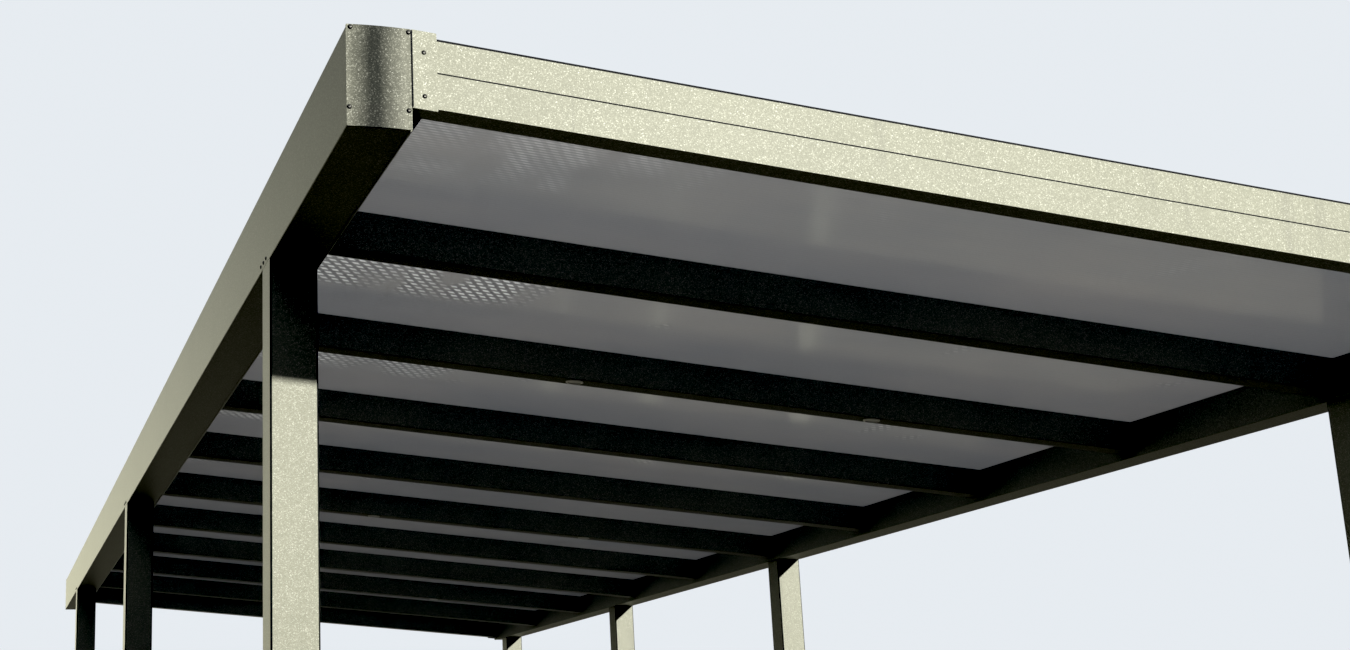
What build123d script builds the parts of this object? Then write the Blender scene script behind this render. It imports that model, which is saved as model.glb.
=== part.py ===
"""Open carport: two side beams on posts, rafters and edge rafters between them, and a
mono-pitch roof of multiwall sheets.

Frame: +X runs from the high beam to the low beam, +Y from the front edge to the rear edge,
+Z up. The origin is on the ground, at the middle of the plan. All sizes are in millimetres.
"""
import math
import os

from build123d import *

# Overall plan and heights
overall_width = 3360.0        # outer face of the high beam to outer face of the low beam
bay_pitch = 1010.0            # rafter centre to rafter centre
bay_count = 10                # bays between the two edge rafters
clear_height_high = 2700.0    # ground to the underside of the high beam
roof_pitch = 5.5              # degrees, falling along +X

# Side beams, extruded box gutters
beam_width = 135.0
beam_height = 218.0
beam_wall = 3.0
beam_corner = 3.0             # radius of the outer lower corner
beam_top_corner = 8.0         # radius of the outer upper corner
gutter_inner_height = 123.0   # inner wall of the low beam, up to the sheets
gutter_floor = 46.0           # height of the channel floor in the low beam
beam_lip = 26.0               # return lip along the top of the gutter's outer wall
drip_bead = 5.0               # round bead along the inner lower edge of each beam

# Roof sheets
sheet_thickness = 16.0
sheet_gap = 14.0              # between neighbouring sheets, over a rafter
sheet_bite_high = 58.0        # how far a sheet runs into the pocket of the high beam
sheet_bite_low = 42.0         # how far it runs over the gutter
sheet_seat_drop = 57.0        # beam top to sheet underside at the high beam's inner face

# Rafters
rafter_width = 76.0
rafter_height = 105.0
rafter_wall = 2.5
screw_port_width = 12.0       # open port in the rafter's top, under the cover strip
screw_port_depth = 14.0
rafter_corner = 2.0

# Cover strips over the rafters
strip_width = 60.0
strip_height = 9.0
strip_wall = 2.0

# Edge rafters with their two-part cladding
edge_depth = 64.0             # outer face of the cladding to its inner edge
cladding_wall = 3.0
cladding_seam = 1.5           # shadow gap between upper and lower cladding
cladding_rise = 40.0          # sheet underside to the top of the cladding
upper_cladding_height = 69.0
edge_rafter_wall = 2.5
edge_seal_set_back = 2.0
edge_seal_size = 4.5

# Corner covers and end caps
corner_cover_width = 48.0
corner_cover_thickness = 4.0
corner_cover_rise = 16.5      # above the cladding
corner_cover_drop = 4.0       # below the cladding
cap_thickness = 3.0
cap_crown = 3.0               # how far the middle of a cap stands out
cap_margin = 10.0             # flat margin down each side of a cap
cap_corner = 3.0              # radius of a cap's corners

# Posts, feet and heads
post_size = 120.0
post_wall = 4.0
post_corner = 5.0
front_post_setback = 1014.0   # front end to the centre of the front posts
rear_setback_high = 1341.0    # rear end to the centre of the last post of the high beam
rear_setback_low = 219.0      # the same for the low beam
foot_plate_size = 200.0
foot_plate_thickness = 10.0
foot_plate_corner = 10.0
anchor_spacing = 160.0
anchor_hole_radius = 7.0
spigot_height = 90.0
spigot_wall = 5.0
fit_clearance = 0.3
sheet_play = 1.0              # over the sheets, under the lip of the high beam

# Derived places
slope = math.tan(math.radians(roof_pitch))
half_width = overall_width / 2
overall_length = bay_pitch * bay_count + edge_depth
half_length = overall_length / 2
inner_left = -half_width + beam_width
inner_right = half_width - beam_width
beam_top_high = clear_height_high + beam_height


def sheet_bottom(x):
    """Height of the underside of the roof sheets at x."""
    return beam_top_high - sheet_seat_drop - slope * (x - inner_left)


clear_height_low = sheet_bottom(inner_right + beam_wall) - gutter_inner_height
cladding_drop = rafter_height + cladding_wall
pocket_floor = beam_height - sheet_seat_drop - fit_clearance
pocket_lip = sheet_seat_drop - sheet_thickness - sheet_play
top_rail_low = beam_height - beam_top_corner - beam_wall
post_rows_high = {
    "front": -half_length + front_post_setback,
    "middle": 0.0,
    "rear": half_length - rear_setback_high,
}
last_low = half_length - rear_setback_low
post_rows_low = {
    "front": -half_length + front_post_setback,
    "middle": 0.0,
    "third": last_low / 2,
    "rear": last_low,
}
post_x_high = -half_width + post_size / 2
post_x_low = half_width - post_size / 2


def closed_face(points):
    """Face from a list of (u, v) corners."""
    return make_face(Polyline(*points, close=True))


def round_corner(face, corner, radius):
    """Round the corner of a face that lies at this (u, v) point."""
    return fillet(face.vertices().sort_by_distance(corner)[0], radius)


def round_top(outline):
    """Round the outer upper corner of a beam, inside and outside, at an even wall."""
    outline = round_corner(outline, (0, beam_height), beam_top_corner)
    return round_corner(outline, (beam_wall, beam_height - beam_wall), beam_top_corner - beam_wall)


def along_slope(section, x_start, x_end):
    """Sweep a (y, height) section down the roof, with upright ends.

    Heights in the section are measured from the underside of the sheets.
    """
    run = x_end - x_start
    at_start = Plane((x_start, 0, sheet_bottom(x_start)), x_dir=(0, 1, 0), z_dir=(1, 0, 0))
    length = run / math.cos(math.radians(roof_pitch))
    return extrude(at_start * section, amount=length, dir=(run, 0, -slope * run))


def along_beam(section, y_start, y_end, x_face, z_low, outward):
    """Extrude a (depth, height) section along +Y.

    Depth is measured from the outer face of the beam towards the roof. outward is -1 for
    the high beam, whose outer face looks along -X, and 1 for the low beam.
    """
    plane = Plane((x_face, y_start, z_low), x_dir=(-outward, 0, 0), z_dir=(0, outward, 0))
    return extrude(plane * section, amount=outward * (y_end - y_start))


def high_beam_section():
    """Closed box below, with a pocket above it for the upper ends of the sheets."""
    wall = beam_wall
    outline = closed_face([
        (0, 0), (beam_width, 0), (beam_width, pocket_floor), (wall, pocket_floor),
        (wall, beam_height - wall), (beam_width - wall, beam_height - wall),
        (beam_width - wall, beam_height - pocket_lip), (beam_width, beam_height - pocket_lip),
        (beam_width, beam_height), (0, beam_height),
    ])
    outline = round_corner(round_top(outline), (0, 0), beam_corner)
    return outline - chamber(pocket_floor) + bead()


def chamber(floor):
    """Hollow below a beam's pocket or channel, whose floor is at this height."""
    return closed_face([
        (beam_wall, beam_wall), (beam_width - beam_wall, beam_wall),
        (beam_width - beam_wall, floor - beam_wall), (beam_wall, floor - beam_wall),
    ])


def bead():
    """Round bead along the inner lower edge."""
    radius = drip_bead / 2
    return Pos(beam_width - radius, 0) * Circle(radius)


def low_beam_section():
    """Closed box below the gutter channel."""
    outline = closed_face([
        (0, 0), (beam_width, 0), (beam_width, gutter_floor), (0, gutter_floor),
    ])
    return round_corner(outline, (0, 0), beam_corner) - chamber(gutter_floor) + bead()


def gutter_inner_wall_section():
    """Wall of the channel towards the roof, up to the sheets."""
    return closed_face([
        (beam_width - beam_wall, gutter_floor), (beam_width, gutter_floor),
        (beam_width, gutter_inner_height), (beam_width - beam_wall, gutter_inner_height),
    ])


def gutter_outer_wall_section():
    """Outer wall of the channel, up to its top rail."""
    return closed_face([
        (0, gutter_floor), (beam_wall, gutter_floor), (beam_wall, top_rail_low), (0, top_rail_low),
    ])


def gutter_top_rail_section():
    """Top of the outer wall, as high as the high beam, with a return lip."""
    return round_top(closed_face([
        (0, top_rail_low), (beam_wall, top_rail_low), (beam_wall, beam_height - beam_wall),
        (beam_lip, beam_height - beam_wall), (beam_lip, beam_height), (0, beam_height),
    ]))


def rafter_section():
    """Hollow box with an open screw port in the middle of its top."""
    wall = rafter_wall
    outer = Pos(0, -rafter_height / 2) * RectangleRounded(rafter_width, rafter_height, rafter_corner)
    bore = Pos(0, -rafter_height / 2) * Rectangle(rafter_width - 2 * wall, rafter_height - 2 * wall)
    port_shell = Pos(0, -screw_port_depth / 2) * Rectangle(
        screw_port_width + 2 * wall, screw_port_depth)
    port = Pos(0, -(screw_port_depth - wall) / 2) * Rectangle(
        screw_port_width, screw_port_depth - wall)
    return outer - bore + port_shell - port


def edge_rafter_section(outer_y, inward):
    """Hollow box behind the cladding."""
    wall = edge_rafter_wall
    width = edge_depth - 2 * cladding_wall
    centre = outer_y + inward * edge_depth / 2
    outer = Pos(centre, -rafter_height / 2) * Rectangle(width, rafter_height)
    bore = Pos(centre, -rafter_height / 2) * Rectangle(width - 2 * wall, rafter_height - 2 * wall)
    return outer - bore


def mirrored_points(points, outer_y, inward):
    """Turn (depth, height) points of the cladding into (y, height) points."""
    return [(outer_y + inward * depth, height) for depth, height in points]


def upper_cladding_section(outer_y, inward):
    """Face plate, top flange over the sheet's edge and a leg down onto the sheet."""
    wall = cladding_wall
    low = cladding_rise - upper_cladding_height
    return closed_face(mirrored_points([
        (0, low), (wall, low), (wall, cladding_rise - wall),
        (edge_depth - wall, cladding_rise - wall), (edge_depth - wall, sheet_thickness),
        (edge_depth, sheet_thickness), (edge_depth, cladding_rise), (0, cladding_rise),
    ], outer_y, inward))


def lower_cladding_section(outer_y, inward):
    """Face plate and a flange that carries the edge rafter."""
    wall = cladding_wall
    top = cladding_rise - upper_cladding_height - cladding_seam
    return closed_face(mirrored_points([
        (0, -cladding_drop), (edge_depth, -cladding_drop), (edge_depth, wall - cladding_drop),
        (wall, wall - cladding_drop), (wall, top), (0, top),
    ], outer_y, inward))


def edge_seal_section(outer_y, inward):
    """Rubber bead on top of the cladding, just behind its face."""
    centre = outer_y + inward * (edge_seal_set_back + edge_seal_size / 2)
    return Pos(centre, cladding_rise + edge_seal_size / 2) * Rectangle(edge_seal_size, edge_seal_size)


def corner_cover(outer_y, inward, x_start, x_end):
    """Flat cover over the joint between a beam and the cladding."""
    low = -cladding_drop - corner_cover_drop
    high = cladding_rise + corner_cover_rise
    section = closed_face([
        (outer_y, low), (outer_y - inward * corner_cover_thickness, low),
        (outer_y - inward * corner_cover_thickness, high), (outer_y, high),
    ])
    return along_slope(section, x_start, x_end)


def end_cap(outer_y, inward, x_low, z_low):
    """Pressed cap over the end of a beam, crowned about the upright axis."""
    x_high = x_low + beam_width
    middle = (x_low + x_high) / 2
    back = outer_y + inward * cap_thickness
    left, right = x_low + cap_margin, x_high - cap_margin

    def contour(y_flat, reverse):
        crown = (middle, y_flat - inward * cap_crown)
        edge = [
            Line((x_low, y_flat), (left, y_flat)),
            ThreePointArc((left, y_flat), crown, (right, y_flat)),
            Line((right, y_flat), (x_high, y_flat)),
        ]
        return edge[::-1] if reverse else edge

    front = outer_y
    sides = [Line((x_low, front), (x_low, back)), Line((x_high, front), (x_high, back))]
    outline = make_face(Curve() + contour(front, False) + contour(back, True) + sides)
    cap = extrude(Plane.XY.offset(z_low) * outline, amount=beam_height, dir=(0, 0, 1))
    return fillet(cap.edges().filter_by(Axis.Y), cap_corner)


def square_tube(size, wall, corner, z_low, z_high):
    """Upright square tube about the origin."""
    outer = RectangleRounded(size, size, corner)
    inner = RectangleRounded(size - 2 * wall, size - 2 * wall, max(corner - wall, 0.5))
    return Pos(0, 0, z_low) * extrude(outer - inner, amount=z_high - z_low)


def foot():
    """Base plate with four anchor holes and a spigot that stands inside the post."""
    plate = RectangleRounded(foot_plate_size, foot_plate_size, foot_plate_corner)
    holes = GridLocations(anchor_spacing, anchor_spacing, 2, 2) * Circle(anchor_hole_radius)
    spigot_size = post_size - 2 * post_wall - 2 * fit_clearance
    spigot = square_tube(spigot_size, spigot_wall, 2.0, foot_plate_thickness,
                         foot_plate_thickness + spigot_height)
    return extrude(plate - holes, amount=foot_plate_thickness) + spigot


def head(z_top):
    """Head fitting inside the top of a post, closed by a plate flush with the post's end."""
    size = post_size - 2 * post_wall - 2 * fit_clearance
    sleeve = square_tube(size, spigot_wall, 2.0, z_top - spigot_height, z_top)
    plate = extrude(RectangleRounded(size, size, 2.0), amount=foot_plate_thickness)
    return sleeve + Pos(0, 0, z_top - foot_plate_thickness) * plate


def save(node, *solids):
    """Write one node, as one solid or as solids that don't touch."""
    shape = solids[0] if len(solids) == 1 else Compound(children=list(solids))
    shape.label = node
    export_step(shape, f"parts/{node}.step")


def build_beams():
    start, end = -half_length + cap_thickness, half_length - cap_thickness
    save("high_beam", along_beam(high_beam_section(), start, end, -half_width,
                                 clear_height_high, -1))
    sections = {
        "low_beam": low_beam_section(),
        "gutter_inner_wall": gutter_inner_wall_section(),
        "gutter_outer_wall": gutter_outer_wall_section(),
        "gutter_top_rail": gutter_top_rail_section(),
    }
    for node, section in sections.items():
        save(node, along_beam(section, start, end, half_width, clear_height_low, 1))


def build_ends():
    ends = {"front": (-half_length, 1), "rear": (half_length, -1)}
    beams = [(-half_width, clear_height_high), (inner_right, clear_height_low)]
    cover_spans = [
        (inner_left, inner_left + corner_cover_width),
        (inner_right - corner_cover_width, inner_right),
    ]
    save("end_caps", *[
        end_cap(outer_y, inward, x_low, z_low)
        for outer_y, inward in ends.values() for x_low, z_low in beams
    ])
    save("corner_covers", *[
        corner_cover(outer_y, inward, *span)
        for outer_y, inward in ends.values() for span in cover_spans
    ])
    for end, (outer_y, inward) in ends.items():
        save(f"{end}_edge_rafter", along_slope(
            edge_rafter_section(outer_y, inward), inner_left, inner_right))
        save(f"{end}_upper_cladding", along_slope(
            upper_cladding_section(outer_y, inward), inner_left, inner_right))
        save(f"{end}_lower_cladding", along_slope(
            lower_cladding_section(outer_y, inward), inner_left, inner_right))
    save("edge_seals", *[
        along_slope(edge_seal_section(outer_y, inward), inner_left + corner_cover_width,
                    inner_right - corner_cover_width)
        for outer_y, inward in ends.values()
    ])


def rafter_line(index):
    """Y of rafter number index, counted from the front edge rafter as 0."""
    return -half_length + edge_depth / 2 + index * bay_pitch


def build_roof():
    for index in range(1, bay_count):
        place = Pos(rafter_line(index), 0)
        save(f"rafter_{index}", along_slope(place * rafter_section(), inner_left, inner_right))
    strip = Pos(0, sheet_thickness + strip_height / 2) * Rectangle(strip_width, strip_height)
    strip -= Pos(0, sheet_thickness + (strip_height - strip_wall) / 2) * Rectangle(
        strip_width - 2 * strip_wall, strip_height - strip_wall)
    save("cover_strips", *[
        along_slope(Pos(rafter_line(index), 0) * strip, inner_left, inner_right)
        for index in range(1, bay_count)
    ])
    for index in range(bay_count):
        low_edge = rafter_line(index) + sheet_gap / 2
        high_edge = rafter_line(index + 1) - sheet_gap / 2
        section = Pos((low_edge + high_edge) / 2, sheet_thickness / 2) * Rectangle(
            high_edge - low_edge, sheet_thickness)
        save(f"roof_sheet_{index + 1}", along_slope(
            section, inner_left - sheet_bite_high, inner_right + sheet_bite_low))


def build_posts():
    groups = {
        "high": (post_x_high, post_rows_high, clear_height_high),
        "low": (post_x_low, post_rows_low, clear_height_low),
    }
    feet, heads = [], []
    for side, (x, rows, height) in groups.items():
        for row, y in rows.items():
            post = square_tube(post_size, post_wall, post_corner, foot_plate_thickness, height)
            save(f"{side}_{row}_post", Pos(x, y, 0) * post)
            feet.append(Pos(x, y, 0) * foot())
            heads.append(Pos(x, y, 0) * head(height))
    save("post_feet", *feet)
    save("post_heads", *heads)


def main():
    os.makedirs("parts", exist_ok=True)
    build_beams()
    build_ends()
    build_roof()
    build_posts()


main()
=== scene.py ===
"""Dresses the packed frame of an open carport: coats, sheets, trim, screws and stage.

It is laid out as an add-on, with one operator for each group of pieces, and run as a script.
Lengths are in metres. +X runs from the high beam to the low beam, +Y from front to rear.
"""

import math

import bmesh
import bpy
from bpy.props import FloatProperty, FloatVectorProperty, IntProperty, PointerProperty
from mathutils import Matrix, Vector


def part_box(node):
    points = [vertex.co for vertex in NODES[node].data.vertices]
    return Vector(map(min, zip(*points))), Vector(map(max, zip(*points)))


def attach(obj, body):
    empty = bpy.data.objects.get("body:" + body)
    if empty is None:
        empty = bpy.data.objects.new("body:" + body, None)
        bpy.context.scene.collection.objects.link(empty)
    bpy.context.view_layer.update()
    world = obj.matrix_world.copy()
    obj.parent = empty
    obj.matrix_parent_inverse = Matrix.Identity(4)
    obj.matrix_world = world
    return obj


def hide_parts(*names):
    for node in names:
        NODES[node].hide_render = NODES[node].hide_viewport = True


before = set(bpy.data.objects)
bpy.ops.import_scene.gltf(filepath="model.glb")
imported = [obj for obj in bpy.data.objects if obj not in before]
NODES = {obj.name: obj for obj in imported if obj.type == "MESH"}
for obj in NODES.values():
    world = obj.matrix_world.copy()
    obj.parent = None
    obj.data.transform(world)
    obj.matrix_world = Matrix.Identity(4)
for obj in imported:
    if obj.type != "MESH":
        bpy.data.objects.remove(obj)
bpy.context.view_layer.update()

bl_info = {
    "name": "Carport dressing",
    "version": (1, 0, 0),
    "blender": (4, 5, 0),
    "location": "3D View > Sidebar > Carport",
    "description": "Coats, roof sheets, trim, screws and stage for an open carport",
    "category": "Object",
}

BODY = "root"
PICTURE = (1350.0, 650.0)                   # pixels across and down

# Pieces of the packed frame
BAYS = 10
RAFTERS = [f"rafter_{i}" for i in range(1, BAYS)]
SHEETS = [f"roof_sheet_{i}" for i in range(1, BAYS + 1)]
POSTS = [name for name in NODES if name.endswith("_post")]

# Its places and sizes
FALL = math.tan(math.radians(5.5))          # of the roof, along +X
BEAM_IN, BEAM_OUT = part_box("high_beam")[1].x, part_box("high_beam")[0].x
LOW_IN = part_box("low_beam")[0].x
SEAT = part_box(RAFTERS[0])[1].z              # underside of the sheets at BEAM_IN
RAFTER_LINES = [sum(v.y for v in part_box(name)) / 2 for name in RAFTERS]
BAY_PITCH = RAFTER_LINES[1] - RAFTER_LINES[0]
FRONT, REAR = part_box("front_upper_cladding"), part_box("rear_upper_cladding")
BEAM_HEIGHT = 0.218
BEAD_RADIUS = 0.0025                        # of the bead that hangs below each beam
RAFTER_HEIGHT = 0.105
SHEET_THICKNESS = 0.016
STRIP_HALF, STRIP_HEIGHT = 0.030, 0.009     # half width and height of a cover strip
FOOT_PLATE = 0.010                          # thickness of the base plates


def underside(x):
    """Height of the underside of the sheets at x."""
    return SEAT - FALL * (x - BEAM_IN)


# Settings

class CoatSettings(bpy.types.PropertyGroup):
    """Powder coat with metallic flakes."""
    tone: FloatVectorProperty(
        name="Tone", description="Colour of the coat between its flakes", subtype="COLOR",
        default=(0.240, 0.240, 0.192), min=0.0, max=1.0)
    flake: FloatVectorProperty(
        name="Flake", description="Colour of the flakes", subtype="COLOR",
        default=(0.38, 0.38, 0.33), min=0.0, max=1.0)
    metallic: FloatProperty(
        name="Metallic", description="How metallic the coat is", subtype="FACTOR",
        default=0.55, min=0.0, max=1.0)
    roughness: FloatProperty(
        name="Roughness", description="Mean roughness of the coat", subtype="FACTOR",
        default=0.76, min=0.0, max=1.0)
    flake_size: FloatProperty(
        name="Flake size", description="Mean distance between flakes", unit="LENGTH",
        default=0.0019, min=0.0005)
    grain_size: FloatProperty(
        name="Grain size", description="Size of the fine texture", unit="LENGTH",
        default=0.0016, min=0.0003)
    grain_height: FloatProperty(
        name="Grain height", description="Height of the fine texture", unit="LENGTH",
        default=0.00025, min=0.0)


class SheetSettings(bpy.types.PropertyGroup):
    """Translucent multiwall roof sheets."""
    rib_pitch: FloatProperty(
        name="Rib pitch", description="Distance between the walls inside a sheet",
        unit="LENGTH", default=0.015, min=0.004)
    rib_thickness: FloatProperty(
        name="Rib thickness", description="Thickness of the walls inside a sheet",
        unit="LENGTH", default=0.0008, min=0.0001)
    tint: FloatVectorProperty(
        name="Tint", description="Colour of the sheets", subtype="COLOR",
        default=(0.692, 0.707, 0.742), min=0.0, max=1.0)
    passing: FloatProperty(
        name="Passing", description="Share of the light that passes through a skin",
        subtype="FACTOR", default=0.70, min=0.0, max=1.0)


class FastenerSettings(bpy.types.PropertyGroup):
    """Screws, spots and anchors."""
    screw_head: FloatProperty(
        name="Screw head", description="Diameter of the visible screw heads", unit="LENGTH",
        default=0.0104, min=0.002)
    strip_screw_pitch: FloatProperty(
        name="Strip screw pitch", description="Distance between the screws of a cover strip",
        unit="LENGTH", default=0.40, min=0.05)
    strip_screw_head: FloatProperty(
        name="Strip screw washer", description="Diameter of the washers on the cover strips",
        unit="LENGTH", default=0.016, min=0.004)
    spot_diameter: FloatProperty(
        name="Spot diameter", description="Diameter of the rings of the recessed spots",
        unit="LENGTH", default=0.057, min=0.01)
    anchor_spacing: FloatProperty(
        name="Anchor spacing", description="Distance between the anchors of a foot",
        unit="LENGTH", default=0.160, min=0.05)
    anchor_washer: FloatProperty(
        name="Anchor washer", description="Diameter of the washers on the anchors",
        unit="LENGTH", default=0.024, min=0.005)
    seed: IntProperty(
        name="Seed", description="Seed for the turns of the heads", default=7)


class StageSettings(bpy.types.PropertyGroup):
    """Floor, light and camera."""
    floor_size: FloatProperty(
        name="Floor size", description="Side of the floor", unit="LENGTH", default=120.0)
    backdrop: FloatVectorProperty(
        name="Backdrop", description="Colour behind the object", subtype="COLOR",
        default=(0.80, 0.84, 0.88), min=0.0, max=1.0)
    sky: FloatProperty(
        name="Sky", description="Strength of the light from above", default=1.0, min=0.0)
    horizon: FloatProperty(
        name="Horizon", description="Strength of the light from the rear", default=1.6, min=0.0)
    bounce: FloatProperty(
        name="Bounce", description="Strength of the light from below, seen in reflections",
        default=0.20, min=0.0)
    fill: FloatProperty(
        name="Fill", description="Strength of the light from all around", default=0.05, min=0.0)
    black: FloatProperty(
        name="Black level", description="Brightness that is shown as black", default=0.02)
    sun: FloatProperty(
        name="Sun", description="Strength of the main light", default=8.4, min=0.0)
    sun_direction: FloatVectorProperty(
        name="Sun direction", description="Towards the main light", subtype="DIRECTION",
        default=(0.425, -1.0, 0.35))
    sun_angle: FloatProperty(
        name="Sun size", description="Angle that the main light fills", subtype="ANGLE",
        default=math.radians(1.2))
    camera_place: FloatVectorProperty(
        name="Camera place", description="Where the camera stands", subtype="TRANSLATION",
        unit="LENGTH", default=(-2.3700, -8.3959, 1.4359))
    camera_up: FloatProperty(
        name="Camera pitch", description="Angle above level", subtype="ANGLE", default=0.2514)
    camera_right: FloatProperty(
        name="Camera yaw", description="Angle to the right of the Y axis", subtype="ANGLE",
        default=0.2976)
    camera_roll: FloatProperty(
        name="Camera roll", description="Turn about the line of sight", subtype="ANGLE",
        default=0.0383)
    focal_pixels: FloatProperty(
        name="Focal length", description="In pixels of the picture", default=1793.37)
    centre_pixels: FloatVectorProperty(
        name="Sight line", description="Pixel of the picture that the camera looks at",
        size=2, default=(526.70, 333.04))


# Nodes

def both_ways(operation):
    """An operator's two methods, with the wire on its left and on its right."""
    return (lambda wire, other: wire.math(operation, wire, other),
            lambda wire, other: wire.math(operation, other, wire))


class Wire:
    """Output of a node. Sums on it add Math nodes."""

    def __init__(self, net, socket):
        self.net = net
        self.socket = socket

    def math(self, operation, *values):
        """Result of a Math operation on the values."""
        return self.net.add("ShaderNodeMath", {"operation": operation}, dict(enumerate(values)))

    __add__, __radd__ = both_ways("ADD")
    __sub__, __rsub__ = both_ways("SUBTRACT")
    __mul__, __rmul__ = both_ways("MULTIPLY")
    __truediv__, __rtruediv__ = both_ways("DIVIDE")
    __pow__, __rpow__ = both_ways("POWER")

    def __abs__(self):
        return self.math("ABSOLUTE", self)

    def cosine(self):
        return self.math("COSINE", self)


class Net:
    """A node tree that is built by code."""

    def __init__(self, tree):
        self.tree = tree

    def add(self, kind, settings=None, sockets=None, out=0):
        """Add a node: its settings first, then values or wires for its sockets."""
        node = self.tree.nodes.new(kind)
        for key, value in (settings or {}).items():
            setattr(node, key, value)
        for key, value in (sockets or {}).items():
            if isinstance(value, Wire):
                self.tree.links.new(value.socket, node.inputs[key])
            else:
                node.inputs[key].default_value = value
        return Wire(self, node.outputs[out]) if len(node.outputs) else None

    def axis(self, place, name):
        """The X, Y or Z of a place."""
        return self.add("ShaderNodeSeparateXYZ", {}, {0: place}, name)

    def point(self, x=0.0, y=0.0, z=0.0):
        """A place or a size from its X, Y and Z."""
        return self.add("ShaderNodeCombineXYZ", {}, {0: x, 1: y, 2: z})

    def mix(self, share, low, high):
        """Mix of two colours, each a wire or plain numbers."""
        low, high = (c if isinstance(c, Wire) else rgba(c) for c in (low, high))
        return self.add("ShaderNodeMix", {"data_type": "RGBA"}, {0: share, 6: low, 7: high}, 2)

    def noise(self, place, scale, detail=2.0, roughness=0.5):
        """Noise with scale lumps to the metre, or with a scale for each axis."""
        if isinstance(scale, tuple):
            place = self.add("ShaderNodeVectorMath", {"operation": "MULTIPLY"}, {
                0: place, 1: scale})
            scale = 1.0
        return self.add("ShaderNodeTexNoise", {}, {
            "Vector": place, "Scale": scale, "Detail": detail, "Roughness": roughness})

    def ranged(self, value, low, high, to_low=0.0, to_high=1.0):
        """value from low..high to to_low..to_high, held at the ends."""
        return self.add("ShaderNodeMapRange", {"clamp": True}, {
            0: value, 1: low, 2: high, 3: to_low, 4: to_high})

    def bump(self, height, strength, distance):
        """Direction of a surface that rises by height times distance."""
        return self.add("ShaderNodeBump", {}, {
            "Strength": strength, "Distance": distance, "Height": height}, "Normal")


def rgba(colour):
    """A colour as a socket takes it."""
    return (*colour, 1.0)


def shaded(colour, factor):
    """A colour made darker or lighter."""
    return tuple(part * factor for part in colour)


# Materials

def new_material(name):
    """Empty material with its net and the wire of Object coordinates."""
    material = bpy.data.materials.new(name)
    material.use_nodes = True
    material.node_tree.nodes.clear()
    net = Net(material.node_tree)
    return material, net, net.add("ShaderNodeTexCoord", out="Object")


def show(net, shader):
    """Make a shader, or a Principled one with these sockets, the material's surface."""
    if isinstance(shader, dict):
        shader = net.add("ShaderNodeBsdfPrincipled", {}, shader)
    net.add("ShaderNodeOutputMaterial", {}, {"Surface": shader})


# Marks of the coat: rain streaks, splashes, and painted shade
RAIN_STREAKS = (26.0, 26.0, 1.3)            # scale along each axis: narrow, and long downwards
RAIN_TONE = (0.42, 0.41, 0.37)
SPLASH_HEIGHT = 0.30                        # how high dirt splashes up from the ground
SPLASH_TONE = (0.30, 0.27, 0.22)
PAINTED_SHADE_TONE = (0.004, 0.005, 0.005)           # painted shade, on the front caps and the posts' rounded corners
UNDER_SHADE_TONE = (0.010, 0.010, 0.009)           # painted shade, on undersides and the beams' inner faces
# Shares of painted shade on beam and rafter undersides, and on the beams' inner faces
BEAM_UNDER_SHADE, RAFTER_UNDER_SHADE, INNER_FACE_SHADE = 0.5, 0.8, 0.8
UNDER_SHADE_FADE = (0.0004, 0.0016)                # distances from a face where its painted shade is full, and where it ends
CORNER_SHADE_FADE = (0.0042, 0.0054)              # distances from a post's edge where its painted shade is full, and where it ends
CAP_SHADE_LINE = 1.622                          # distance from the middle plane of the line of painted shade on the caps
CAP_SHADE_FADE = (0.009, 0.066)                # distances from that line where the painted shade is full, and half
CAP_SHADE_WANDER = 0.016                       # how far that line wanders


def cap_painted_shade(net, place, chance):
    """Share of painted shade on the end caps: a soft dark band down each front cap."""
    wander = net.noise(place, (0.0, 0.0, 9.0), 1.0, 0.5) - 0.5
    from_line = abs(abs(net.axis(place, "X")) - CAP_SHADE_LINE + CAP_SHADE_WANDER * wander)
    dark = net.ranged(from_line, *CAP_SHADE_FADE, 0.905, 0.40)
    dark = dark * (1.0 - 0.7 * (1.0 - dark) * chance ** 3.0)
    return dark * net.ranged(net.axis(place, "Y"), -1.0, 1.0, 1.0, 0.0)


def post_corner_painted_shade(net, place):
    """Share of painted shade on the rounded corners of the posts, which stand in two rows."""
    side, depth = abs(net.axis(place, "X")), net.axis(place, "Y")
    boxes = [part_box(name) for name in POSTS]
    low, high = boxes[0]
    half, row = (high.x - low.x) / 2, abs(low.x + high.x) / 2
    from_face = None
    for line in sorted({round((low.y + high.y) / 2, 4) for low, high in boxes}):
        gap = abs(abs(depth - line) - half)
        from_face = gap if from_face is None else gap.math("MINIMUM", gap, from_face)
    return 0.93 * net.ranged(abs(abs(side - row) - half), *CORNER_SHADE_FADE, 1.0, 0.0) \
        * net.ranged(from_face, *CORNER_SHADE_FADE, 1.0, 0.0)


def underside_painted_shade(net, place, height, fall, share, inner_faces):
    """Share of painted shade on undersides at a height above X = 0, and on inner faces of the
    beams.
    """
    across = net.axis(place, "X")
    from_under = abs(net.axis(place, "Z") + fall * across - height)
    under_shade = net.ranged(from_under, *UNDER_SHADE_FADE, share, 0.0)
    if not inner_faces:
        return under_shade
    inner = net.ranged(abs(abs(across) - LOW_IN), *UNDER_SHADE_FADE, INNER_FACE_SHADE, 0.0)
    return under_shade.math("MAXIMUM", under_shade, inner)


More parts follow.
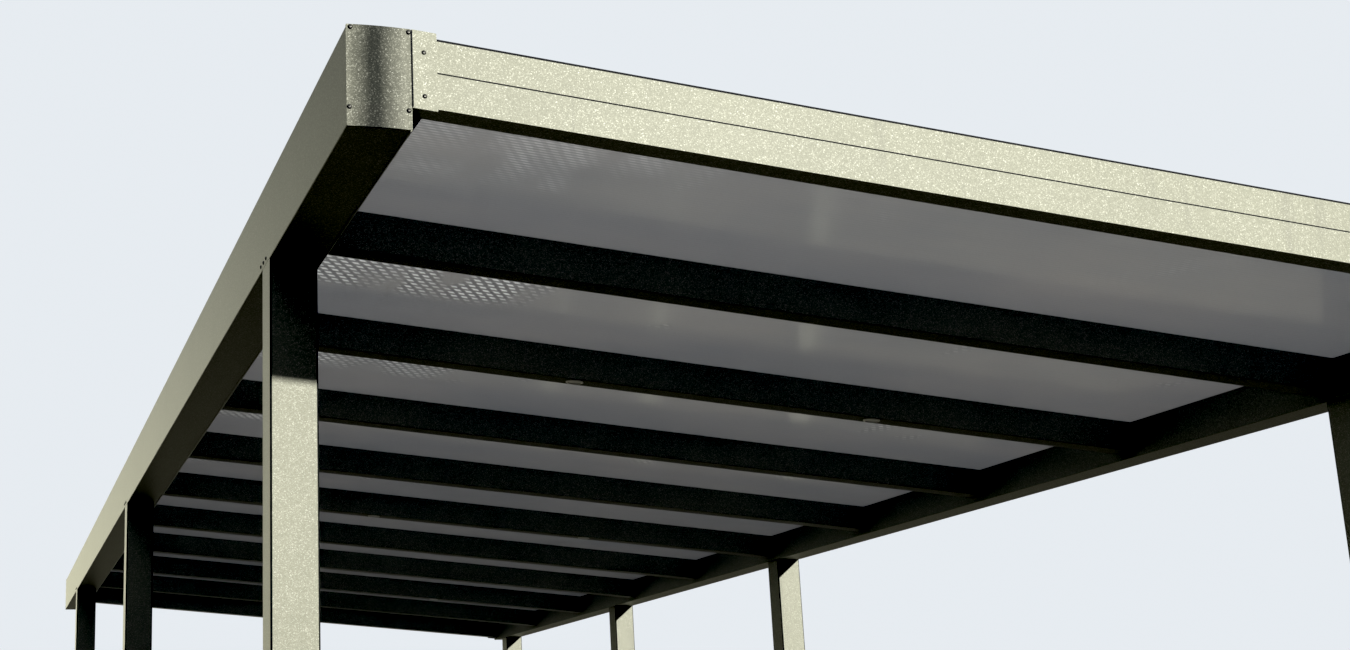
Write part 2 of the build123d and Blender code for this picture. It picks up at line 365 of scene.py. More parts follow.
def coat_material(name, settings, cap_shade=False, corners=False, under=None, inner_faces=False):
    """Textured powder coat with flakes, rain marks and dust low down.

    The flag for the caps paints a soft band of shade down each front cap, and corners paints shade
    on the rounded corners of the posts.
    under is (height above X = 0, fall along X, share) of painted shade on undersides, which are
    also less glossy there, and with inner_faces the inner faces of the beams get it too.
    """
    material, net, place = new_material(name)
    grain = net.noise(place, 1 / settings.grain_size, 2.0, 0.6)
    cell = net.add("ShaderNodeTexVoronoi", {}, {
        "Vector": place, "Scale": 1 / settings.flake_size}, "Color")
    chance = net.add("ShaderNodeSeparateColor", {}, {0: cell})
    flakes = chance ** 12.0                 # few cells are bright
    clouds = net.noise(place, 3.0, 3.0, 0.6)
    rain = net.ranged(net.noise(place, RAIN_STREAKS, 4.0, 0.62), 0.58, 0.74)
    splash = net.ranged(net.axis(place, "Z"), SPLASH_HEIGHT, 0.0) \
        * net.ranged(net.noise(place, 22.0, 4.0, 0.7), 0.40, 0.62)
    tone = net.mix(0.50 * chance + 0.25 * grain + 0.25 * clouds,
                   shaded(settings.tone, 0.72), shaded(settings.tone, 1.24))
    tone = net.mix(rain * 0.16, tone, RAIN_TONE)
    tone = net.mix(flakes, tone, settings.flake)
    facing = net.add("ShaderNodeLayerWeight", {}, {"Blend": 0.5}, "Facing")
    grazing = net.ranged(facing, 0.70, 0.95)
    gloss = 0.05 + 0.85 * grazing
    metallic = settings.metallic * (1.0 - splash)
    if under:
        # Painted shade: undersides and inner faces made darker and less glossy
        under_shade = underside_painted_shade(net, place, *under, inner_faces)
        tone = net.mix(0.30 * under_shade, tone, UNDER_SHADE_TONE)
        gloss = gloss * (1.0 - under_shade)
        grazing = grazing * (1.0 - under_shade)
        metallic = metallic * (1.0 - 0.15 * under_shade)
    # Painted shade: the caps' bands and the posts' corners made darker, less glossy and more
    # metallic
    if cap_shade or corners:
        dark = cap_painted_shade(net, place, chance) if cap_shade else post_corner_painted_shade(net, place)
        tone = net.mix(dark, tone, PAINTED_SHADE_TONE)
        gloss = gloss * (1.0 - dark)
        metallic = metallic + (1.0 - metallic) * dark
    tone = net.mix(splash * 0.5, tone, SPLASH_TONE)
    rough = settings.roughness + 0.16 * (grain - 0.5) + 0.10 * rain - 0.10 * flakes \
        - 0.34 * grazing
    show(net, {
        "Base Color": tone, "Metallic": metallic, "Roughness": rough,
        "Normal": net.bump(grain + 0.35 * chance, 0.55, settings.grain_height),
        "Coat Weight": gloss, "Coat Roughness": 0.4})
    return material


def rubber_material(name):
    """Weathered black rubber."""
    fresh, bloomed = (0.003, 0.003, 0.003), (0.009, 0.009, 0.009)
    material, net, place = new_material(name)
    bloom = net.noise(place, 60.0, 4.0, 0.7)
    tone = net.mix(net.ranged(bloom, 0.45, 0.75), fresh, bloomed)
    show(net, {
        "Base Color": tone, "Roughness": 0.68 + 0.25 * bloom,
        "Normal": net.bump(net.noise(place, 700.0), 0.3, 0.0003),
        "Specular IOR Level": 0.2})
    return material


def zinc_material(name):
    """Hot-dip galvanised steel, with its crystals and white bloom."""
    dark, light, bloomed = (0.36, 0.38, 0.40), (0.60, 0.62, 0.64), (0.62, 0.61, 0.58)
    material, net, place = new_material(name)
    crystal = net.add("ShaderNodeTexVoronoi", {}, {"Vector": place, "Scale": 75.0}, "Color")
    shade = net.add("ShaderNodeSeparateColor", {}, {0: crystal})
    bloom = net.ranged(net.noise(place, 18.0, 5.0, 0.7), 0.50, 0.68)
    tone = net.mix(shade, dark, light)
    tone = net.mix(bloom * 0.6, tone, bloomed)
    show(net, {
        "Base Color": tone, "Metallic": 0.9 - 0.5 * bloom,
        "Roughness": 0.32 + 0.2 * shade + 0.25 * bloom,
        "Normal": net.bump(shade + net.noise(place, 300.0), 0.25, 0.0004)})
    return material


def bare_metal_material(name, colour, roughness, along):
    """Rolled or turned metal with fine lines; along scales each axis of the lines."""
    material, net, place = new_material(name)
    lines = net.noise(place, along, 3.0, 0.6)
    spots = net.ranged(net.noise(place, 90.0, 4.0, 0.7), 0.55, 0.75)
    tone = net.mix(lines, shaded(colour, 0.75), colour)
    tone = net.mix(spots * 0.5, tone, shaded(colour, 0.45))
    show(net, {
        "Base Color": tone, "Metallic": 0.95 - 0.3 * spots,
        "Roughness": roughness + 0.2 * lines + 0.2 * spots,
        "Normal": net.bump(lines, 0.2, 0.0002)})
    return material


# Ripples in the sheets: in the bump, and as painted glints of the walls inside them with painted
# shade between
DASH_DOWN, DASH_ACROSS = 0.032, 0.055       # distances between dashes along X and along Y
RIPPLE_RISE = (-0.55, -1.3)                 # X between which they grow stronger
RIPPLE_DEPTH = (0.60, 0.68)                 # shares of a bay where they fade and end
FIRST_BAY_FADE = 0.02                       # hidden above the first rafter
SHEET_DUST = (0.33, 0.31, 0.27)


def sheet_material(name, settings):
    """Opal multiwall plastic: a glossy skin that lets a share of the light through.

    The walls inside show as faint lines. In the front part of each bay, near the high beam, they
    ripple in the bump and glint in painted highlights, with painted shade between: fine lines in
    the first bay, and slanting dashes in the others.
    """
    material, net, place = new_material(name)
    down, across = net.axis(place, "X"), net.axis(place, "Y")
    waver = net.noise(place, (2.5, 9.0, 2.5), 3.0, 0.55)
    phase = (across / settings.rib_pitch + 0.35 * waver) * (2 * math.pi)
    wave = 0.5 + 0.5 * phase.cosine()               # a crest for each wall
    swell = 0.5 + 0.5 * (0.5 * phase).cosine()      # a crest for every other wall
    rib = wave ** 6.0
    behind = across - RAFTER_LINES[0]
    first_bay = net.ranged(behind, -FIRST_BAY_FADE, FIRST_BAY_FADE, 1.0, 0.0)

    patches = net.noise(place, (3.2, 1.5, 1.0), 3.0, 0.55) \
        + net.ranged(down, *RIPPLE_RISE, 0.0, 0.26)
    bays = behind / BAY_PITCH + 0.06 * waver
    front_part = net.ranged(bays.math("FRACT", bays), *RIPPLE_DEPTH, 1.0, 0.0)
    breaks = net.noise(place, (9.0, 3.0, 9.0), 2.0, 0.5)
    glint = net.ranged(patches, 0.60, 0.74) * front_part * (1.0 - 0.5 * first_bay) \
        * net.ranged(breaks, 0.34, 0.54)
    slant = (down / DASH_DOWN - across / DASH_ACROSS + 0.8 * waver) * (2 * math.pi)
    dashes = net.ranged(slant.cosine(), -0.55, 0.25)
    glint_lines = net.ranged(swell + (wave - swell) * first_bay, 0.20, 0.65) \
        * (dashes + (1.0 - dashes) * (0.5 * first_bay))
    # Painted glints, where the ripples catch the light
    painted_glint = glint_lines * glint

    clouds = net.noise(place, (1.1, 2.2, 1.0), 4.0, 0.6)
    dust = net.ranged(net.noise(place, 160.0, 3.0, 0.7), 0.52, 0.75)
    tint = settings.tint
    warm = (tint[0] * 1.10, tint[1] * 1.05, tint[2] * 0.99)
    tone = net.mix(clouds, shaded(tint, 0.86), warm)
    # Painted shade in the gaps between the glints, then painted highlights on the glints
    tone = net.mix((1.0 - wave) * 0.06 + (1.0 - glint_lines) * (0.45 * glint), tone,
                   shaded(tint, 0.50))
    tone = net.mix(rib * 0.06 + 0.94 * painted_glint, tone, (1.0, 1.0, 1.0))
    tone = net.mix(dust * 0.12, tone, SHEET_DUST)
    height = (wave + 1.2 * swell) * (0.25 + 1.5 * glint) + 0.10 * dust
    skin = net.add("ShaderNodeBsdfPrincipled", {}, {
        "Base Color": tone, "Roughness": 0.08 + 0.12 * dust + 0.06 * clouds,
        "Normal": net.bump(height, 0.6, 0.0006), "IOR": 1.9, "Specular IOR Level": 1.0})
    through = net.add("ShaderNodeBsdfTranslucent", {}, {"Color": tone})
    facing = net.add("ShaderNodeLayerWeight", {}, {"Blend": 0.5}, "Facing")
    # Under the painted glints the skin also lets more light through
    passing = settings.passing - 0.10 * rib + 0.38 * painted_glint
    show(net, net.add("ShaderNodeMixShader", {}, {
        0: passing * (1.0 - 1.25 * facing ** 4.0), 1: skin, 2: through}))
    return material


def lens_material(name):
    """Frosted lens of a spot."""
    dim, bright = (0.62, 0.63, 0.63), (0.80, 0.81, 0.80)
    material, net, place = new_material(name)
    frost = net.noise(place, 420.0, 3.0, 0.6)
    show(net, {
        "Base Color": net.mix(frost, dim, bright), "Roughness": 0.30 + 0.25 * frost,
        "Normal": net.bump(frost, 0.3, 0.0003), "Coat Weight": 0.3})
    return material


# Meshes

def add_prism(bm, outline, run):
    """Closed prism from an outline of points, along run."""
    near = [bm.verts.new(p) for p in outline]
    far = [bm.verts.new(Vector(p) + Vector(run)) for p in outline]
    bm.faces.new(near)
    bm.faces.new(reversed(far))
    for i, j in zip(range(-1, len(near) - 1), range(len(near))):
        bm.faces.new((near[j], near[i], far[i], far[j]))


def add_lathe(bm, outline, sides):
    """Turn an outline of (radius, height) about the Z axis.

    A third number of a point scales its radius on every other side.
    """
    rings = []
    for radius, height, *pinch in outline:
        if radius == 0.0:
            rings.append([bm.verts.new((0.0, 0.0, height))])
            continue
        ring = []
        for k in range(sides):
            angle = 2 * math.pi * k / sides
            reach = radius * (pinch[0] if pinch and k % 2 else 1.0)
            ring.append(bm.verts.new((reach * math.cos(angle), reach * math.sin(angle), height)))
        rings.append(ring)
    for low, high in zip(rings, rings[1:]):
        for k in range(sides):
            j = (k + 1) % sides
            corners = [low[k % len(low)], low[j % len(low)],
                       high[j % len(high)], high[k % len(high)]]
            bm.faces.new(list(dict.fromkeys(corners)))


def mesh_piece(name, bm, material=None, sharp=35.0):
    """Object at the origin from a bmesh, smooth up to the sharp angle in degrees."""
    bmesh.ops.recalc_face_normals(bm, faces=bm.faces)
    mesh = bpy.data.meshes.new(name)
    bm.to_mesh(mesh)
    bm.free()
    mesh.shade_smooth()
    mesh.set_sharp_from_angle(angle=math.radians(sharp))
    if material:
        mesh.materials.append(material)
    piece = bpy.data.objects.new(name, mesh)
    bpy.context.scene.collection.objects.link(piece)
    return piece


def points_piece(name, points):
    """Loose points for a tree to build on."""
    mesh = bpy.data.meshes.new(name)
    mesh.from_pydata(points, [], [])
    piece = bpy.data.objects.new(name, mesh)
    bpy.context.scene.collection.objects.link(piece)
    return piece


def finish_piece(piece, slot, *replaced):
    """Tie a finished piece to the frame."""
    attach(piece, BODY)
    if replaced:
        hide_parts(*replaced)


# Geometry Nodes

def new_tree(name, inputs):
    """Geometry Nodes tree with named inputs, and the wires of those inputs."""
    tree = bpy.data.node_groups.new(name, "GeometryNodeTree")
    tree.interface.new_socket("Geometry", in_out="INPUT", socket_type="NodeSocketGeometry")
    for title, kind in inputs:
        tree.interface.new_socket(title, in_out="INPUT", socket_type=f"NodeSocket{kind}")
    tree.interface.new_socket("Geometry", in_out="OUTPUT", socket_type="NodeSocketGeometry")
    net = Net(tree)
    start = tree.nodes.new("NodeGroupInput")
    return tree, net, {s.name: Wire(net, s) for s in start.outputs if s.name}


def close_tree(net, geometry, material):
    """End a tree in Realize Instances and Set Material."""
    solid = net.add("GeometryNodeRealizeInstances", {}, {0: geometry})
    coated = net.add("GeometryNodeSetMaterial", {}, {"Geometry": solid, "Material": material})
    net.add("NodeGroupOutput", {}, {0: coated})


def run_tree(piece, tree, values):
    """Run a tree on a piece once, and keep the result as its plain mesh."""
    modifier = piece.modifiers.new(tree.name, "NODES")
    modifier.node_group = tree
    for item in tree.interface.items_tree:
        if item.in_out == "INPUT" and item.name in values:
            modifier[item.identifier] = values[item.name]
    graph = bpy.context.evaluated_depsgraph_get()
    result = bpy.data.meshes.new_from_object(piece.evaluated_get(graph))
    piece.modifiers.remove(modifier)
    before = piece.data
    piece.data = result
    bpy.data.meshes.remove(before)
    result.name = piece.name


def sheet_tree():
    """A hollow sheet: an outer skin and the walls inside it, cut upright at its ends."""
    tree, net, given = new_tree("Multiwall sheet", [
        ("Start", "Vector"), ("Length", "Float"), ("Width", "Float"), ("Thickness", "Float"),
        ("Rib Pitch", "Float"), ("Rib Thickness", "Float"), ("Fall", "Float"),
        ("Material", "Material")])
    length, width, thick = given["Length"], given["Width"], given["Thickness"]
    pitch = given["Rib Pitch"]
    short, low = 0.004, 0.0012              # a wall is this much less than its sheet

    def block(size, centre):
        cube = net.add("GeometryNodeMeshCube", {}, {"Size": net.point(*size)})
        return net.add("GeometryNodeTransform", {}, {
            "Geometry": cube, "Translation": net.point(*centre)})

    skin = block((length, width, thick), (length / 2, width / 2, thick / 2))
    rib = block((length - short, given["Rib Thickness"], thick - low),
                (length / 2, 0.0, thick / 2))
    ratio = width / pitch
    count = ratio.math("FLOOR", ratio) - 1
    line = net.add("GeometryNodeMeshLine", {"mode": "OFFSET"}, {
        "Count": count, "Start Location": net.point(y=(width - (count - 1) * pitch) / 2),
        "Offset": net.point(y=pitch)})
    ribs = net.add("GeometryNodeInstanceOnPoints", {}, {"Points": line, "Instance": rib})
    ribs = net.add("GeometryNodeRealizeInstances", {}, {0: ribs})
    both = tree.nodes.new("GeometryNodeJoinGeometry")
    for part in (skin, ribs):
        tree.links.new(part.socket, both.inputs[0])
    x = net.axis(net.add("GeometryNodeInputPosition"), "X")
    leaning = net.add("GeometryNodeSetPosition", {}, {
        "Geometry": Wire(net, both.outputs[0]), "Offset": net.point(z=(0 - given["Fall"]) * x)})
    placed = net.add("GeometryNodeTransform", {}, {
        "Geometry": leaning, "Translation": given["Start"]})
    close_tree(net, placed, given["Material"])
    return tree


def heads_tree():
    """A head on each point, turned to face along the point's outward direction."""
    tree, net, given = new_tree("Heads", [
        ("Head", "Object"), ("Diameter", "Float"), ("Seed", "Int"), ("Material", "Material")])
    diameter = given["Diameter"]
    head = net.add("GeometryNodeObjectInfo", {}, {0: given["Head"]}, "Geometry")
    outward = net.add("GeometryNodeInputNamedAttribute", {"data_type": "FLOAT_VECTOR"}, {
        "Name": "outward"})
    facing = net.add("FunctionNodeAlignRotationToVector", {"axis": "Z"}, {"Vector": outward})
    angle = net.add("FunctionNodeRandomValue", {"data_type": "FLOAT"}, {
        2: 0.0, 3: 2 * math.pi, "Seed": given["Seed"]}, 1)
    spin = net.add("FunctionNodeAxisAngleToRotation", {}, {"Axis": (0, 0, 1), "Angle": angle})
    turned = net.add("FunctionNodeRotateRotation", {"rotation_space": "LOCAL"}, {
        0: facing, 1: spin})
    heads = net.add("GeometryNodeInstanceOnPoints", {}, {
        "Points": given["Geometry"], "Instance": head, "Rotation": turned,
        "Scale": net.point(diameter, diameter, diameter)})
    close_tree(net, heads, given["Material"])
    return tree


def heads_piece(name, places, head, diameter, material, slot):
    """One piece with a head at each (point, outward) place. head is a list of lathed parts."""
    bm = bmesh.new()
    for outline, sides in head:
        add_lathe(bm, outline, sides)
    pattern = mesh_piece(f"{name}_pattern", bm, sharp=40.0)
    piece = points_piece(name, [point for point, outward in places])
    arrows = piece.data.attributes.new("outward", "FLOAT_VECTOR", "POINT")
    arrows.data.foreach_set("vector", [c for point, outward in places for c in outward])
    tree = bpy.data.node_groups.get("Heads") or heads_tree()
    run_tree(piece, tree, {
        "Head": pattern, "Diameter": diameter, "Material": material,
        "Seed": bpy.context.scene.carport_fasteners.seed})
    bpy.data.objects.remove(pattern)
    finish_piece(piece, slot)


# Heads for a diameter of 1, as lathed outlines with their number of sides
PAN_HEAD = [([(0.0, -0.30), (0.20, -0.30), (0.20, 0.0), (0.50, 0.0), (0.50, 0.05), (0.45, 0.15),
              (0.36, 0.22), (0.26, 0.26), (0.19, 0.27, 0.66), (0.16, 0.12, 0.66),
              (0.0, 0.12)], 24)]
HEX_HEAD = [
    ([(0.0, 0.0), (0.50, 0.0), (0.50, 0.06), (0.40, 0.13), (0.0, 0.13)], 16),
    ([(0.0, 0.10), (0.28, 0.10), (0.28, 0.36), (0.22, 0.42), (0.0, 0.42)], 6)]
ANCHOR = [
    ([(0.0, 0.0), (0.50, 0.0), (0.50, 0.10), (0.0, 0.10)], 24),
    ([(0.0, 0.09), (0.43, 0.09), (0.43, 0.48), (0.37, 0.54), (0.0, 0.54)], 6),
    ([(0.0, -0.40), (0.25, -0.40), (0.25, 0.86), (0.20, 0.92), (0.0, 0.92)], 16)]
SPOT_RING = [([(0.36, -0.02), (0.50, 0.0), (0.50, 0.02), (0.46, 0.05), (0.40, 0.055),
               (0.37, 0.03), (0.36, -0.02)], 40)]
SPOT_LENS = [([(0.0, -0.015), (0.37, -0.015), (0.37, 0.012), (0.25, 0.022), (0.0, 0.026)], 32)]


# Operators

class CARPORT_OT_frame_coat(bpy.types.Operator):
    """Coat the packed beams, rafters, cladding, covers, posts, seals and feet"""
    bl_idname = "carport.frame_coat"
    bl_label = "Coat the frame"

    def execute(self, context):
        settings = context.scene.carport_coat
        coat = coat_material("Textured coat", settings)
        rubber = rubber_material("Seal rubber")
        zinc = zinc_material("Galvanised steel")
        # Front caps with a painted band of shade, posts with painted shade on their rounded
        # corners
        cap = coat_material("Cap coat", settings, cap_shade=True)
        post = coat_material("Post coat", settings, corners=True)
        # Beams and rafters with painted shade on their undersides, the beams also on their inner
        # faces
        high, low = (
            coat_material(f"{side} beam coat", settings, inner_faces=True, under=(
                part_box(f"{side.lower()}_beam")[0].z + BEAD_RADIUS, 0.0, BEAM_UNDER_SHADE))
            for side in ("High", "Low"))
        rafter = coat_material("Rafter coat", settings,
                               under=(underside(0.0) - RAFTER_HEIGHT, FALL, RAFTER_UNDER_SHADE))
        special = {"edge_seals": rubber, "post_feet": zinc, "post_heads": zinc, "end_caps": cap,
                   "high_beam": high, "low_beam": low, "gutter_inner_wall": low}
        special.update((name, post) for name in POSTS)
        special.update((name, rafter) for name in RAFTERS)
        for name, node in NODES.items():
            if name not in SHEETS:
                node.material_slots[0].material = special.get(name, coat)
        return {"FINISHED"}


class CARPORT_OT_roof_sheets(bpy.types.Operator):
    """Build the hollow roof sheets, one for each bay"""
    bl_idname = "carport.roof_sheets"
    bl_label = "Roof sheets"

    def execute(self, context):
        settings = context.scene.carport_sheets
        opal = sheet_material("Opal sheet", settings)
        tree = sheet_tree()
        for index, name in enumerate(SHEETS, 1):
            low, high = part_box(name)
            piece = points_piece(f"multiwall_sheet_{index}", [(0, 0, 0)])
            run_tree(piece, tree, {
                "Start": (low.x, low.y, underside(low.x)), "Length": high.x - low.x,
                "Width": high.y - low.y, "Thickness": SHEET_THICKNESS,
                "Rib Pitch": settings.rib_pitch, "Rib Thickness": settings.rib_thickness,
                "Fall": FALL, "Material": opal})
            finish_piece(piece, "roof_sheet", name)
        return {"FINISHED"}


class CARPORT_OT_sheet_trim(bpy.types.Operator):
    """Build the end profiles of the sheets, and the rubber that seals sheets and cladding"""
    bl_idname = "carport.sheet_trim"
    bl_label = "Sheet trim"

    def execute(self, context):
        mill = bare_metal_material("Mill finish", (0.62, 0.63, 0.64), 0.30, (40.0, 2.0, 900.0))
        rubber = bpy.data.materials["Seal rubber"]
        finish_piece(mesh_piece("sheet_end_profiles", self.end_profiles(), mill), "frame_coat")
        finish_piece(mesh_piece("sheet_seal_lips", self.seal_lips(), rubber), "seal_rubber")
        finish_piece(mesh_piece("edge_seal_beads", self.edge_beads(), rubber, sharp=50.0),
                     "seal_rubber", "edge_seals")
        return {"FINISHED"}

    def end_profiles(self):
        """A channel round the lower end of each sheet."""
        wall, leg = 0.0012, 0.020
        bm = bmesh.new()
        for name in SHEETS:
            low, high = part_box(name)
            near, end = high.x - leg, high.x
            outline = [(near, SHEET_THICKNESS + wall), (end + wall, SHEET_THICKNESS + wall),
                       (end + wall, -wall), (near, -wall), (near, 0.0), (end, 0.0),
                       (end, SHEET_THICKNESS), (near, SHEET_THICKNESS)]
            add_prism(bm, [(x, low.y, underside(x) + rise) for x, rise in outline],
                      (0, high.y - low.y, 0))
        return bm

    def seal_lips(self):
        """Rubber gaskets in the cladding's seam, black also as painted shade of the seam, lips on
        the sheets, and wedges at the high beam.
        """
        bm = bmesh.new()
        length = LOW_IN - BEAM_IN
        run = (length, 0, -FALL * length)

        # Rubber in the cladding's seam: a real joint, and painted shade of the seam
        drop, gap, proud, depth = 0.06825, 0.0030, 0.0003, 0.003
        top = FRONT[1].z - drop
        for face, outward in ((FRONT[0].y, -1), (REAR[1].y, 1)):
            y0, y1 = face + outward * proud, face - outward * depth
            add_prism(bm, [(BEAM_IN, y0, top), (BEAM_IN, y1, top), (BEAM_IN, y1, top - gap),
                           (BEAM_IN, y0, top - gap)], run)

        lip = 0.0030
        top = SEAT + SHEET_THICKNESS
        strips = [(y + side * STRIP_HALF, side) for y in RAFTER_LINES for side in (-1, 1)]
        for y, side in strips + [(FRONT[1].y, 1), (REAR[0].y, -1)]:
            add_prism(bm, [(BEAM_IN, y, top), (BEAM_IN, y + side * lip, top),
                           (BEAM_IN, y, top + lip)], run)
        edges = [FRONT[1].y, *(y for y, side in strips), REAR[0].y]
        for y0, y1 in zip(edges[::2], edges[1::2]):
            add_prism(bm, [(BEAM_IN, y0, top), (BEAM_IN + lip, y0, top - FALL * lip),
                           (BEAM_IN, y0, top + 2 * lip)], (0, y1 - y0, 0))

        reach, drop, thick, set_back, wall = 0.0345, 0.054, 0.003, 0.064, 0.003
        top = underside(BEAM_IN) - RAFTER_HEIGHT - wall
        for y in (FRONT[0].y + set_back, REAR[1].y - set_back - thick):
            add_prism(bm, [(BEAM_IN, y, top - drop), (BEAM_IN, y, top),
                           (BEAM_IN + reach, y, top - FALL * reach)], (0, thick, 0))
        return bm

    def edge_beads(self):
        """Beads with a round top along the front and rear edges of the roof."""
        half, height, sunk, proud = 0.0024, 0.0068, 0.0050, 0.0005
        bm = bmesh.new()
        low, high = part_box("edge_seals")
        length, foot = high.x - low.x, high.z - sunk
        for y in (low.y + half - proud, high.y - half + proud):
            outline = [(low.x, y - half, foot), (low.x, y + half, foot)]
            for step in range(0, 181, 30):
                angle = math.radians(step)
                outline.append((low.x, y + half * math.cos(angle),
                                foot + height - half + half * math.sin(angle)))
            add_prism(bm, outline, (length, 0, -FALL * length))
        return bm


class CARPORT_OT_corner_plates(bpy.types.Operator):
    """Build the plates over the joints of beams and cladding, and beside them thin black strips
    that stand in for the shade in the gap at each cap
    """
    bl_idname = "carport.corner_plates"
    bl_label = "Corner plates"

    def execute(self, context):
        low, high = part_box("corner_covers")
        width, height, inset, thick = 0.0535, 0.1705, 0.002, 0.002
        corner, rounding = 0.0020, 0.0005
        line, proud = 0.0026, 0.0003        # width of a painted shade strip, and how far it stands out
        plates, shade_strips = bmesh.new(), bmesh.new()
        for side in (-1, 1):
            x0 = low.x if side < 0 else high.x - width
            foot = high.z - FALL * (x0 - low.x) - height
            edge = x0 if side < 0 else x0 + width
            inner = edge - side * line
            for y, back in ((low.y + inset, 1), (high.y - inset, -1)):
                outline = []
                for x, z, turn in ((0, 0, 180), (width, 0, 270),
                                   (width, height, 0), (0, height, 90)):
                    middle_x = x + (corner if x == 0 else -corner)
                    middle_z = z + (corner if z == 0 else -corner)
                    for step in (0, 30, 60, 90):
                        angle = math.radians(turn + step)
                        dx = middle_x + corner * math.cos(angle)
                        dz = middle_z + corner * math.sin(angle)
                        outline.append((x0 + dx, y, foot + dz - FALL * dx))
                add_prism(plates, outline, (0, back * thick, 0))
                # Black rubber strip along the plate's edge by the cap: painted shade of the gap
                # there
                outline = [(x, y - back * proud, foot + z - FALL * (x - x0))
                           for x, z in ((edge, corner), (inner, corner),
                                        (inner, height - corner), (edge, height - corner))]
                add_prism(shade_strips, outline, (0, back * thick, 0))
        flat = [e for e in plates.edges if abs(e.verts[0].co.y - e.verts[1].co.y) < 1e-6]
        bmesh.ops.bevel(plates, geom=flat, offset=rounding, segments=2, affect="EDGES")
        coat, rubber = bpy.data.materials["Textured coat"], bpy.data.materials["Seal rubber"]
        finish_piece(mesh_piece("corner_cover_plates", plates, coat), "frame_coat",
                     "corner_covers")
        finish_piece(mesh_piece("corner_gaskets", shade_strips, rubber), "seal_rubber")
        return {"FINISHED"}


class CARPORT_OT_screws(bpy.types.Operator):
    """Set the screws of the caps, covers, posts and cover strips"""
    bl_idname = "carport.screws"
    bl_label = "Screws"

    def execute(self, context):
        settings = context.scene.carport_fasteners
        steel = bare_metal_material("Dark screw steel", (0.040, 0.039, 0.035), 0.24,
                                    (600.0, 600.0, 600.0))
        heads_piece("cover_screws", self.end_places() + self.post_places(), PAN_HEAD,
                    settings.screw_head, steel, "frame_coat")
        heads_piece("strip_screws", self.strip_places(settings.strip_screw_pitch), HEX_HEAD,
                    settings.strip_screw_head, steel, "frame_coat")
        return {"FINISHED"}

    def end_places(self):
        """Four screws on each end cap, and two on the corner cover beside it."""
        cover_inset, cover_sunk, cover_rises = 0.0258, 0.00285, (0.00975, -0.08525)
        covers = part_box("corner_covers")
        places = []
        for face, cover_face, outward in ((FRONT[0].y, covers[0].y, -1),
                                          (REAR[1].y, covers[1].y, 1)):
            arrow = (0, outward, 0)
            for outer, inner, node in ((BEAM_OUT, BEAM_IN, "high_beam"),
                                       (-BEAM_OUT, LOW_IN, "gutter_top_rail")):
                side = 1 if inner > outer else -1
                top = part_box(node)[1].z
                bottom = top - BEAM_HEIGHT
                for edge, inset, level, rise in (
                        (outer, 0.0090, top, -0.0062), (outer, 0.0055, bottom, 0.0400),
                        (inner, -0.0052, top, -0.0075), (inner, -0.0072, bottom, 0.0405)):
                    places.append(((edge + side * inset, face, level + rise), arrow))
                x = inner + side * cover_inset
                for rise in cover_rises:
                    places.append(((x, cover_face - outward * cover_sunk,
                                    underside(x) + rise), arrow))
        return places

    def post_places(self):
        """Three screws in the outer face of the high beam over each of its posts."""
        step, rise = 0.040, 0.015
        places = []
        for row in ("front", "middle", "rear"):
            low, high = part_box(f"high_{row}_post")
            centre = (low.y + high.y) / 2
            for k in range(3):
                places.append(((BEAM_OUT, centre + k * step, high.z + rise), (-1, 0, 0)))
        return places

    def strip_places(self, pitch):
        """An even row of screws on each cover strip."""
        ends = 0.12                         # left free, both together
        count = int((LOW_IN - BEAM_IN - ends) / pitch) + 1
        start = (BEAM_IN + LOW_IN - (count - 1) * pitch) / 2
        row = [start + k * pitch for k in range(count)]
        up = Vector((FALL, 0, 1)).normalized()
        strip_top = SHEET_THICKNESS + STRIP_HEIGHT
        return [((x, y, underside(x) + strip_top), up) for y in RAFTER_LINES for x in row]


class CARPORT_OT_spots(bpy.types.Operator):
    """Set a pair of recessed spots under every third rafter"""
    bl_idname = "carport.spots"
    bl_label = "Spots"

    def execute(self, context):
        pair = (-0.515, 0.545)              # places along X
        down = -Vector((FALL, 0, 1)).normalized()
        places = [((x, y, underside(x) - RAFTER_HEIGHT), down)
                  for y in RAFTER_LINES[1::3] for x in pair]
        ring = bare_metal_material("Spot ring", (0.56, 0.56, 0.55), 0.25, (300.0, 300.0, 300.0))
        size = context.scene.carport_fasteners.spot_diameter
        heads_piece("spot_rings", places, SPOT_RING, size, ring, "frame_coat")
        heads_piece("spot_lenses", places, SPOT_LENS, size, lens_material("Frosted lens"),
                    "roof_sheet")
        return {"FINISHED"}


class CARPORT_OT_anchors(bpy.types.Operator):
    """Set four anchors in each post foot"""
    bl_idname = "carport.anchors"
    bl_label = "Anchors"

    def execute(self, context):
        settings = context.scene.carport_fasteners
        half = settings.anchor_spacing / 2
        places = []
        for name in POSTS:
            centre = sum(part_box(name), Vector()) / 2
            for dx in (-half, half):
                for dy in (-half, half):
                    places.append(((centre.x + dx, centre.y + dy, FOOT_PLATE), (0, 0, 1)))
        heads_piece("foot_anchors", places, ANCHOR, settings.anchor_washer,
                    bpy.data.materials["Galvanised steel"], "foot_steel")
        return {"FINISHED"}


